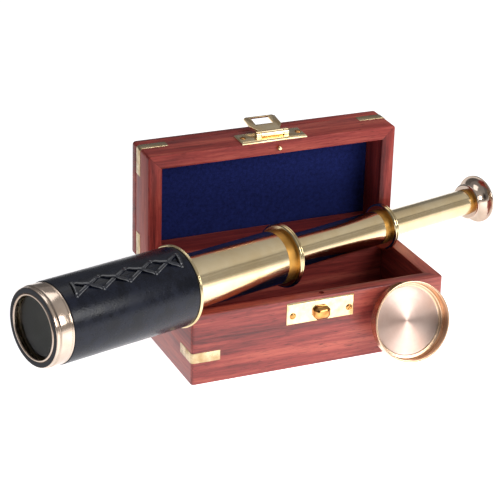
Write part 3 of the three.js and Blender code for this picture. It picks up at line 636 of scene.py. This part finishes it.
def screwHead(centre, turnAngle):  # a round-headed screw that faces -Y
    radius = plates["screwHead"]
    dome = [(-0.75, 0), (-0.73, 0.5 * radius), (-0.5, 0.82 * radius), (-0.1, radius), (0.05, radius),
            (0.05, 1.1), (3, 1.1), (3.6, 0)]
    bm = turned(dome, 0.25, closed=False, sides=40)
    turn = Matrix.Rotation(math.radians(90), 4, "Z")
    bmesh.ops.transform(bm, matrix=turn, verts=bm.verts)
    slotHalf = plates["slotWidth"] * mm / 2
    groove = block((-3 * mm, -2 * mm, -slotHalf), (3 * mm, (plates["slotDepth"] - 0.75) * mm, slotHalf))
    bm = carve(bm, [groove])
    spin = Matrix.Rotation(turnAngle, 4, "Y")
    bmesh.ops.transform(bm, matrix=Matrix.Translation(centre) @ spin, verts=bm.verts)
    return bm


def makeScrews(kind, place, body, angles):
    low, high = localBox(f"{kind}_plate", place)
    plateFront = low.y if kind == "catch" else high.y - plates["haspFront"] * mm  # the lugs stand in front
    for side, angle in zip(("left", "right"), angles):
        node = f"{kind}_screw_{side}"
        low, high = localBox(node, place)
        centre = Vector(((low.x + high.x) / 2, plateFront, (low.z + high.z) / 2))
        makePiece(f"{kind}Screw_{side}", screwHead(centre, angle), place, body, [node],
                  [hookBrass])


low, high = localBox("catch_plate", basePlace)
high.y += plates["sunk"] * mm
makePiece("catchPlate", chamferedPlate(low, high), basePlace, "box", ["catch_plate"],
          [plateBrass])
makeScrews("catch", basePlace, "box", (0.5, -0.9))

low, high = localBox("catch_hook", basePlace)  # a faceted dome with a lip that the flap snaps over
reach = high.y - low.y
crown = reach * hookCut["crown"]
hook = block((low.x, low.y + crown, low.z), (high.x, high.y + hookCut["sunk"] * mm, high.z))
bevelled(hook, [edge for edge in hook.edges if lengthAlong(edge, 1) > mm / 10], hookCut["corner"] * mm, 1)
front = [face for face in hook.faces if face.normal.y < -0.9]
bmesh.ops.inset_individual(hook, faces=front, thickness=hookCut["facet"] * mm, depth=crown,
                           use_even_offset=True)
bevelled(hook, hook.edges[:], hookCut["rounding"] * mm, 1)
makePiece("catchHook", hook, basePlace, "box", ["catch_hook"], [hookBrass])

low, high = localBox("hasp_plate", lidPlace)
plateBack = -boxHalfDepth + 0.2 * mm
plateLow = Vector((low.x, -boxHalfDepth - plates["haspStand"] * mm, low.z))
hinge = lidPlace.inverted() @ Vector(joints["hasp_hinge"]["pos_m"])
knuckle = plates["knuckle"] * mm
parts = [chamferedPlate(plateLow, Vector((high.x, plateBack, high.z)))]
for side in (-1, 1):
    start, end = sorted((side * plates["lugStart"] * mm, side * plates["lugEnd"] * mm))
    lug = carve(rod((start, hinge.y, hinge.z), (end, hinge.y, hinge.z), knuckle),
                [block((start, hinge.y, hinge.z - knuckle), (end, plateBack, hinge.z + knuckle))], "UNION")
    parts.append(lug)
makePiece("haspPlate", merged(parts), lidPlace, "lid", ["hasp_plate"], [plateBrass])
makeScrews("hasp", lidPlace, "lid", (1.2, 0.3))
low, high = localBox("hasp_pin", lidPlace)
pinEnds = [Vector((x, hinge.y, hinge.z)) for x in (low.x - 0.1 * mm, high.x + 0.1 * mm)]
makePiece("haspPin", rod(*pinEnds, plates["pinRadius"] * mm, 24), lidPlace, "lid", ["hasp_pin"],
          [plateBrass])


def flapShape():  # X across, Z from the knuckle to the tip, Y through the sheet
    p = {key: value * mm for key, value in plates.items()}
    root, tip, end, corner = p["flapHalfRoot"], p["flapHalfTip"], p["flapLength"], p["flapCorner"]
    half = [(root, 0), (root, p["flapShoulder"] * 0.45), (tip, p["flapShoulder"]), (tip, end - corner),
            (tip - corner, end)]
    outline = half + [(-x, z) for x, z in reversed(half)]
    bm = bmesh.new()
    back = -0.65 * p["flapThickness"]
    face = bm.faces.new([bm.verts.new((x, back, z)) for x, z in outline])
    extruded(bm, face, (0, p["flapThickness"], 0))
    side, start = p["windowWidth"] / 2, p["windowStart"]
    bm = carve(bm, [block((-side, -3 * mm, start), (side, 3 * mm, start + p["windowLength"]))])
    bmesh.ops.dissolve_limit(bm, angle_limit=0.01, verts=bm.verts, edges=bm.edges)
    bevelled(bm, sharpEdges(bm, 30), p["flapRounding"])
    drum = rod((-root, 0, 0), (root, 0, 0), p["knuckle"], 40)
    bore = rod((-tip, 0, 0), (tip, 0, 0), p["pinBore"], 24)
    room = rod((-tip, 0, 0), (tip, 0, 0), p["drumRoom"], 24)
    return merged([carve(drum, [bore]), carve(bm, [room])])


makePiece("haspFlap", flapShape(), flapPlace, "hasp", ["hasp_flap"], [plateBrass])
low, high = localBox("locating_pin", lidPlace)
pinRadius = (high.x - low.x) / 2 / mm
pinProfile = [(-3, 0), (-3, pinRadius * 0.6), (-2.4, pinRadius), (1, pinRadius), (1, 0)]
locatingPin = turned(pinProfile, 0.5, closed=False, sides=32)
pinTurn = (Matrix.Translation(((low.x + high.x) / 2, (low.y + high.y) / 2, 0))
           @ Matrix.Rotation(-math.pi / 2, 4, "Y"))
bmesh.ops.transform(locatingPin, matrix=pinTurn, verts=locatingPin.verts)
makePiece("locatingPin", locatingPin, lidPlace, "lid", ["locating_pin"], [plateBrass])
for side in ("left", "right"):  # the hinges keep their exact shape, with eased edges
    for node in (f"hinge_leaf_base_{side}", f"hinge_leaf_lid_{side}", f"hinge_pin_{side}"):
        piece = nodes[node]
        piece.data.materials.clear()
        piece.data.materials.append(strapBrass)
        weld = piece.modifiers.new("weld", "WELD")
        weld.merge_threshold = 0.01 * mm
        ease = piece.modifiers.new("ease", "BEVEL")
        ease.width = plates["leafEase"] * mm
        ease.segments = 2
        ease.limit_method = "ANGLE"
        ease.angle_limit = math.radians(40)
print("catch, hasp and hinges made")


def makeTurned(name, profile, node, body, materials, rounding=0.15, closed=True, place=glassPlace,
               sides=128, boreBelow=0, faceBefore=-100):
    bm = turned(profile, rounding, closed, sides)
    for face in bm.faces:  # a bore takes the last material and a front face the second
        middle = face.calc_center_median()
        if math.hypot(middle.y, middle.z) < boreBelow * mm:
            face.material_index = len(materials) - 1
        elif middle.x < faceBefore * mm:
            face.material_index = 1
    makePiece(name, bm, place, body, [node], materials)


def ringProfile(start, end, inner, outer):
    return [(start, inner), (start, outer), (end, outer), (end, inner)]


def lensProfile(start, end, edge, radius, steps=10):
    crown = (end - start - edge) / 2
    middle = (start + end) / 2
    rise = [(step / steps, crown * (1 - (step / steps) ** 2)) for step in range(steps + 1)]
    front = [(middle - edge / 2 - height, radius * share) for share, height in rise]
    back = [(middle + edge / 2 + height, radius * share) for share, height in reversed(rise)]
    return front + back


_, cellEnd, cellRadius = span("objective_cell")
wrapStart, wrapEnd, wrapRadius = span("leather_wrap")
tubeStart, tubeEnd, barrelRadius = span("barrel_tube")
collarStart, collarEnd, collarRadius = span("rear_collar")
cell = {"lipStep": 0.6, "groove": 0.25, "faceBore": 20, "seatBore": 18.6, "seat": 4.9, "seatEnd": 6.7,
             "ringRadius": 19.85, "ringProud": 0.35, "lensRadius": 19.6, "lensStart": 1.9, "lensEnd": 5.9,
             "lensEdge": 2.4}
lipRadius = cellRadius - cell["lipStep"]
grooveRadius = cellRadius - cell["groove"]
makeTurned("objectiveCell", [
    (0, cell["faceBore"]), (0, lipRadius - 0.5), (0.4, lipRadius), (1.9, lipRadius),
    (2.1, lipRadius - 0.3), (2.4, lipRadius - 0.3), (2.8, grooveRadius), (3.3, cellRadius),
    (9.9, cellRadius), (10.1, grooveRadius), (10.4, grooveRadius), (10.6, cellRadius),
    (cellEnd + 0.1, cellRadius), (cellEnd + 0.1, barrelRadius + 0.05),
    (cell["seatEnd"], barrelRadius + 0.05), (cell["seatEnd"], cell["seatBore"]),
    (cell["seat"], cell["seatBore"]), (cell["seat"], cell["faceBore"])],
    "objective_cell", "spyglass", [cellBrass, faceBlack, boreShadeBrass], rounding=0.2,
    faceBefore=0.05, boreBelow=19.5)
ringRadius, proud = cell["ringRadius"], cell["ringProud"]
makeTurned("retainingRing", [
    (-proud, cell["seatBore"] + 0.3), (-proud, ringRadius - 0.35), (0.1, ringRadius), (1.8, ringRadius),
    (1.8, cell["seatBore"]), (0.1, cell["seatBore"])],
    "retaining_ring", "spyglass", [cellBrass], rounding=0.18)
makeTurned("objectiveLens", lensProfile(
    cell["lensStart"], cell["lensEnd"], cell["lensEdge"], cell["lensRadius"]),
    "objective_lens", "spyglass", [lensGlass], closed=False, rounding=0)
makeTurned("barrelTube", ringProfile(tubeStart, tubeEnd, barrelRadius - 1, barrelRadius), "barrel_tube",
           "spyglass", [tubeBrass, boreShadeBrass], boreBelow=barrelRadius - 0.5)
makeTurned("leatherWrap", [
    (wrapStart - 0.15, barrelRadius + 0.05), (wrapStart - 0.15, wrapRadius - 0.1),
    (wrapStart + 0.5, wrapRadius), (wrapEnd - 0.3, wrapRadius), (wrapEnd + 0.25, wrapRadius - 0.1),
    (wrapEnd + 0.25, barrelRadius + 0.05)],
    "leather_wrap", "spyglass", [wrapLeather], rounding=0.35, sides=160)
rear = {"bore": 17.15, "spigot": 22.1, "rim": 1.95}
makeTurned("rearCollar", [
    (collarStart, rear["bore"]), (collarStart, rear["spigot"]), (collarEnd - rear["rim"], rear["spigot"]),
    (collarEnd - rear["rim"], collarRadius - 0.5), (collarEnd - 1.5, collarRadius),
    (collarEnd - 1.15, collarRadius), (collarEnd - 0.95, collarRadius - 0.2),
    (collarEnd - 0.75, collarRadius), (collarEnd - 0.35, collarRadius), (collarEnd, collarRadius - 0.5),
    (collarEnd, rear["bore"])],
    "rear_collar", "spyglass", [collarBrass], rounding=0.18)

drawFits = {"wall": 0.8, "bush": 0.3, "stopWidth": 3.5, "pushedIn": 0.3}
for number in (1, 2, 3):
    body = f"draw_{number}"
    start, end, stop = span(f"draw_tube_{number}")
    bandStart, bandEnd, radius = span(f"draw_band_{number}")
    inner = radius - drawFits["wall"]
    stopEnd = start + drawFits["stopWidth"]
    end += drawFits["pushedIn"]
    makeTurned(f"drawTube_{number}", [
        (start, inner), (start, stop), (stopEnd, stop), (stopEnd, radius), (end, radius), (end, inner)],
        f"draw_tube_{number}", body, [tubeBrass, boreShadeBrass], boreBelow=radius - 0.4)
    makeTurned(f"drawBand_{number}", ringProfile(
        bandStart, bandEnd + drawFits["pushedIn"], inner, radius + 0.05),
        f"draw_band_{number}", body, [bandBrass], rounding=0.08)

bead = [(0, 1.1), (0.12, 0.25), (0.28, 0), (0.42, 0.15), (0.5, 0.6)]  # share of the width, drop in radius
for number in (1, 2):
    body = f"draw_{number}"
    start, end, radius = span(f"draw_collar_{number}")
    _, bandEnd, bandRadius = span(f"draw_band_{number}")
    flange = bandEnd + drawFits["pushedIn"]
    bore = span(f"draw_band_{number + 1}")[2] + drawFits["bush"]
    spigot = bandRadius - drawFits["wall"] - 0.3
    wide = end - flange
    beads = [(flange + wide * share, radius - drop) for share, drop in bead]
    beads += [(end - wide * share, radius - drop) for share, drop in reversed(bead[:-1])]
    makeTurned(f"drawCollar_{number}", [
        (start, bore), (start, spigot), (flange, spigot), *beads, (end, bore)],
        f"draw_collar_{number}", body, [collarBrass], rounding=0.25)

start, end, radius = span("erector_cell")
makeTurned("erectorCell", [
    (start, radius - 1), (start, radius), (end, radius), (end, radius - 1), (end - 2.2, radius - 1),
    (end - 2.2, radius - 1.9), (end - 3, radius - 1.9), (end - 3, radius - 1)],
    "erector_cell", "draw_3", [boreShadeBrass], sides=64)
start, end, radius = span("erector_lens")
makeTurned("erectorLens", lensProfile(start, end, 1.2, radius), "erector_lens", "draw_3",
           [lensGlass], closed=False, rounding=0, sides=64)
eye = {"ringBore": 6.45, "spigot": 7.45, "neck": 9.3, "rim": 1.6, "cup": 6.4, "hole": 5, "bore": 6.9}
start, end, radius = span("eyepiece_ring")
makeTurned("eyepieceRing", [
    (start, eye["ringBore"]), (start, eye["spigot"]), (end - 2, eye["spigot"]), (end - 2, radius - 0.8),
    (end - 1.6, radius), (end - 0.6, radius), (end, radius - 0.8), (end, eye["ringBore"])],
    "eyepiece_ring", "draw_3", [cellBrass], rounding=0.25)
start, end, radius = span("eyepiece_bell")
flare = []
for step in range(19):  # a quarter of an ellipse, from the neck out to the rim
    turn = math.radians(90 * step / 18)
    station = start + (end - eye["rim"] - start) * math.sin(turn)
    flare.append((station, eye["neck"] + (radius - eye["neck"]) * (1 - math.cos(turn))))
makeTurned("eyepieceBell", [
    *flare, (end - 0.5, radius), (end, radius - 0.7), (end - 0.6, radius - 2.1), (end - 1.4, radius - 5),
    (end - 2.6, eye["cup"]), (end - 3, eye["hole"]), (end - 3.9, eye["hole"]),
    (end - 3.9, eye["bore"]), (start, eye["bore"])],
    "eyepiece_bell", "draw_3", [cellBrass], rounding=0.3)
start, end, radius = span("eye_lens")
makeTurned("eyeLens", lensProfile(start, end, 1.3, radius), "eye_lens", "draw_3",
           [lensGlass], closed=False, rounding=0, sides=64)


def laceRun(fromHole, toHole, lift, steps=14):  # one run of lace over the leather, from hole to hole
    points = []
    for step in range(steps + 1):
        share = step / steps
        station = fromHole[0] + (toHole[0] - fromHole[0]) * share
        angle = math.radians(fromHole[1] + (toHole[1] - fromHole[1]) * share)
        over = min(share, 1 - share) / 0.12
        middle = math.exp(-((share - 0.5) / 0.13) ** 2)
        rise = min(over, 1) * (lacing["thick"] + lacing["proud"])
        radius = wrapRadius - lacing["sunk"] + rise + lift * middle
        points.append(Vector((station, radius * math.cos(angle), radius * math.sin(angle))) * mm)
    return points


def sweptLace(points, thick, sides=8):  # a flat lace along a path
    bm = bmesh.new()
    loops = []
    for index, point in enumerate(points):
        ahead = (points[min(index + 1, len(points) - 1)] - points[max(index - 1, 0)]).normalized()
        outward = Vector((0, point.y, point.z)).normalized()
        across = ahead.cross(outward).normalized()
        outward = across.cross(ahead)
        ring = []
        for side in range(sides):
            angle = math.tau * side / sides
            offset = across * math.cos(angle) * thick * 1.35 + outward * math.sin(angle) * thick * 0.75
            ring.append(bm.verts.new(point + offset * mm))
        loops.append([bm.edges.new((ring[side], ring[(side + 1) % sides])) for side in range(sides)])
    for one, other in zip(loops, loops[1:]):
        bmesh.ops.bridge_loops(bm, edges=one + other)
    for loop in (loops[0], loops[-1]):
        bmesh.ops.contextual_create(bm, geom=loop)
    return bm


stations = [lacing["first"] + lacing["pitch"] * index for index in range(lacing["count"])]
nearHoles = [(station - 1.2, lacing["near"]) for station in stations]
farHoles = [(station + 1.0, lacing["far"]) for station in stations]
runs = []
for index in range(lacing["count"] - 1):
    runs.append(laceRun(nearHoles[index], farHoles[index + 1], 0.0))
    runs.append(laceRun(farHoles[index], nearHoles[index + 1], lacing["crossing"]))
runs.append(laceRun(farHoles[0], nearHoles[0], 0.2))
runs.append(laceRun(farHoles[-1], nearHoles[-1], 0.2))
shapes = [sweptLace(run, lacing["thick"]) for run in runs]
for station, angle in nearHoles + farHoles:  # a small puckered knot at each hole
    direction = Vector((0, math.cos(math.radians(angle)), math.sin(math.radians(angle))))
    knot = bmesh.new()
    bmesh.ops.create_uvsphere(knot, u_segments=16, v_segments=10, radius=lacing["knot"] * mm)
    turn = Vector((0, 0, 1)).rotation_difference(direction).to_matrix().to_4x4()
    centre = Vector((station * mm, 0, 0)) + direction * wrapRadius * mm
    flatter = Matrix.Diagonal((1, 1, lacing["knotHeight"], 1))
    bmesh.ops.transform(knot, matrix=Matrix.Translation(centre) @ turn @ flatter, verts=knot.verts)
    shapes.append(knot)
makePiece("leatherLacing", merged(shapes), glassPlace, "spyglass", [], [laceLeather])
print("spyglass made")


capCut = {"bead": 0.5, "beadWidth": 1.2, "wall": 1.3, "disc": 0.8}
start, end, radius = span("lens_cap", capPlace)
skirt, bore, disc = radius - capCut["bead"], radius - capCut["wall"], capCut["disc"]
makeTurned("lensCap", [
    (0, 0), (0, radius - 2.1), (0.3, radius - 1.2), (1.3, skirt), (end - capCut["beadWidth"] - 0.3, skirt),
    (end - capCut["beadWidth"], radius), (end - 0.1, radius), (end, radius - 0.3), (end, bore + 0.1),
    (end - 0.5, bore), (3.2, bore), (3.0, bore - 0.2), (2.0, bore - 0.2), (1.6, bore - 0.7),
    (1.5, bore - 2.1), (disc + 0.1, bore - 2.9), (disc, bore - 4.7), (disc - 0.08, bore - 10.7), (disc, 4),
    (disc - 0.1, 0)],
    "lens_cap", "cap", [capWallBrass, capBrass], rounding=0.3, closed=False, place=capPlace,
    sides=160, faceBefore=1.2)
print("cap made")


# the pool keys set where the floor's painted glow is brightest and how far it spreads
paper = {"dull": 0xF4F4F5, "clean": 0xF8F8F9, "mottleScale": 3, "poolCentre": (0.06, -0.24, 0),
         "poolRadius": 0.08, "poolEdge": 0.42, "poolGlow": 2.1, "farGlow": 0.62}


def paintedGlowFloor():
    # pale paper floor with painted light: it glows, most strongly in a pool in front of the box
    material, tree = newMaterial("paleFloorPaintedGlow")
    where = addNode(tree, "ShaderNodeTexCoord").outputs["Object"]
    mottle = addNode(tree, "ShaderNodeTexNoise", {
        "Vector": where, "Scale": paper["mottleScale"]}).outputs["Fac"]
    colour = addNode(tree, "ShaderNodeValToRGB", {"Fac": mottle}, stops=[
        (0.3, toLinear(paper["dull"])), (0.7, toLinear(paper["clean"]))]).outputs["Color"]
    away = addNode(tree, "ShaderNodeVectorMath", {0: where, 1: paper["poolCentre"]},
                   operation="DISTANCE").outputs["Value"]
    # painted light: the floor's glow is strongest in a pool in front of the box and fades further out
    glow = addNode(tree, "ShaderNodeMapRange", {
        "Value": away, "From Min": paper["poolRadius"], "From Max": paper["poolEdge"],
        "To Min": paper["poolGlow"], "To Max": paper["farGlow"]}, interpolation_type="SMOOTHSTEP").outputs[0]
    shader = addNode(tree, "ShaderNodeBsdfPrincipled", {
        "Base Color": colour, "Roughness": 0.9, "Specular IOR Level": 0.1, "Emission Color": colour,
        "Emission Strength": glow})
    addNode(tree, "ShaderNodeOutputMaterial", {"Surface": shader.outputs[0]})
    return material


bpy.ops.mesh.primitive_plane_add(size=16, location=(0, 0, -0.0002))
floor = bpy.context.object
floor.name = "studioFloor"
floor.data.materials.append(paintedGlowFloor())

lights = [  # name, place, aim, width, height, watts
    ("keyLight", (0.75, -1.25, 0.75), (0, 0, 0.05), 0.8, 0.6, 13),
    ("topLight", (0.1, 0.35, 1.3), (0, 0, 0.05), 1.0, 0.8, 4),
]
for name, place, aim, width, height, watts in lights:
    data = bpy.data.lights.new(name, "AREA")
    data.shape = "RECTANGLE"
    data.size, data.size_y, data.energy = width, height, watts
    lamp = bpy.data.objects.new(name, data)
    lamp.location = place
    lamp.rotation_euler = (Vector(aim) - Vector(place)).to_track_quat("-Z", "Y").to_euler()
    bpy.context.scene.collection.objects.link(lamp)

world = bpy.data.worlds.new("studioWorld")
world.use_nodes = True
tree = world.node_tree
tree.nodes.clear()
sky = addNode(tree, "ShaderNodeTexCoord").outputs["Generated"]
side = addNode(tree, "ShaderNodeVectorMath", {0: sky, 1: (0.77, -0.64, 0.0)},
               operation="DOT_PRODUCT").outputs["Value"]
share = addNode(tree, "ShaderNodeMapRange", {"Value": side, "From Min": -1.0}).outputs[0]
tent = addNode(tree, "ShaderNodeValToRGB", {"Fac": share}, stops=[
    (0.0, (0.3, 0.3, 0.31, 1)), (0.95, (0.8, 0.79, 0.78, 1)), (0.5, (0.42, 0.42, 0.43, 1))]).outputs["Color"]
toward = addNode(tree, "ShaderNodeVectorMath", {0: sky, 1: (-0.39, -0.84, 0.38)},
                 operation="DOT_PRODUCT").outputs["Value"]
gap = addNode(tree, "ShaderNodeMapRange", {"Value": toward, "From Min": 0.93, "From Max": 0.99,
                                           "To Max": 0.85}).outputs[0]
shade = addNode(tree, "ShaderNodeMix", {0: gap, 6: tent, 7: grey(0.03)}, data_type="RGBA").outputs[2]
_, _, height = addNode(tree, "ShaderNodeSeparateXYZ", {"Vector": sky}).outputs
rails = addNode(tree, "ShaderNodeValToRGB", {"Fac": height}, stops=[
    (0.0, grey(0.8)), (1.0, grey(0.9)), (0.14, grey(0.5)), (0.25, grey(0.6)), (0.29, grey(0.35)),
    (0.33, grey(0.75)), (0.38, grey(0.7)), (0.4, grey(0.2)), (0.43, grey(0.35)), (0.47, grey(1))]
    ).outputs["Color"]
shade = addNode(tree, "ShaderNodeMix", {0: 1.0, 6: shade, 7: rails}, data_type="RGBA",
                blend_type="MULTIPLY").outputs[2]
glow = addNode(tree, "ShaderNodeBackground", {"Color": shade, "Strength": 0.87})
addNode(tree, "ShaderNodeOutputWorld", {"Surface": glow.outputs[0]})
bpy.context.scene.world = world
bpy.context.scene.view_settings.view_transform = "Standard"

view = {"place": (-0.4707, -1.0095, 0.5462), "heading": -23.54, "elevation": 23.58, "roll": 1.23,
        "lens": 141.07}
cameraData = bpy.data.cameras.new("camera")
cameraData.lens = view["lens"]
cameraData.sensor_width = 36
cameraData.clip_start = 0.05
camera = bpy.data.objects.new("camera", cameraData)
camera.matrix_world = (Matrix.Translation(view["place"])
                       @ Matrix.Rotation(math.radians(view["heading"]), 4, "Z")
                       @ Matrix.Rotation(math.radians(90 - view["elevation"]), 4, "X")
                       @ Matrix.Rotation(math.radians(view["roll"]), 4, "Z"))
bpy.context.scene.collection.objects.link(camera)
bpy.context.scene.camera = camera
print("stage made")
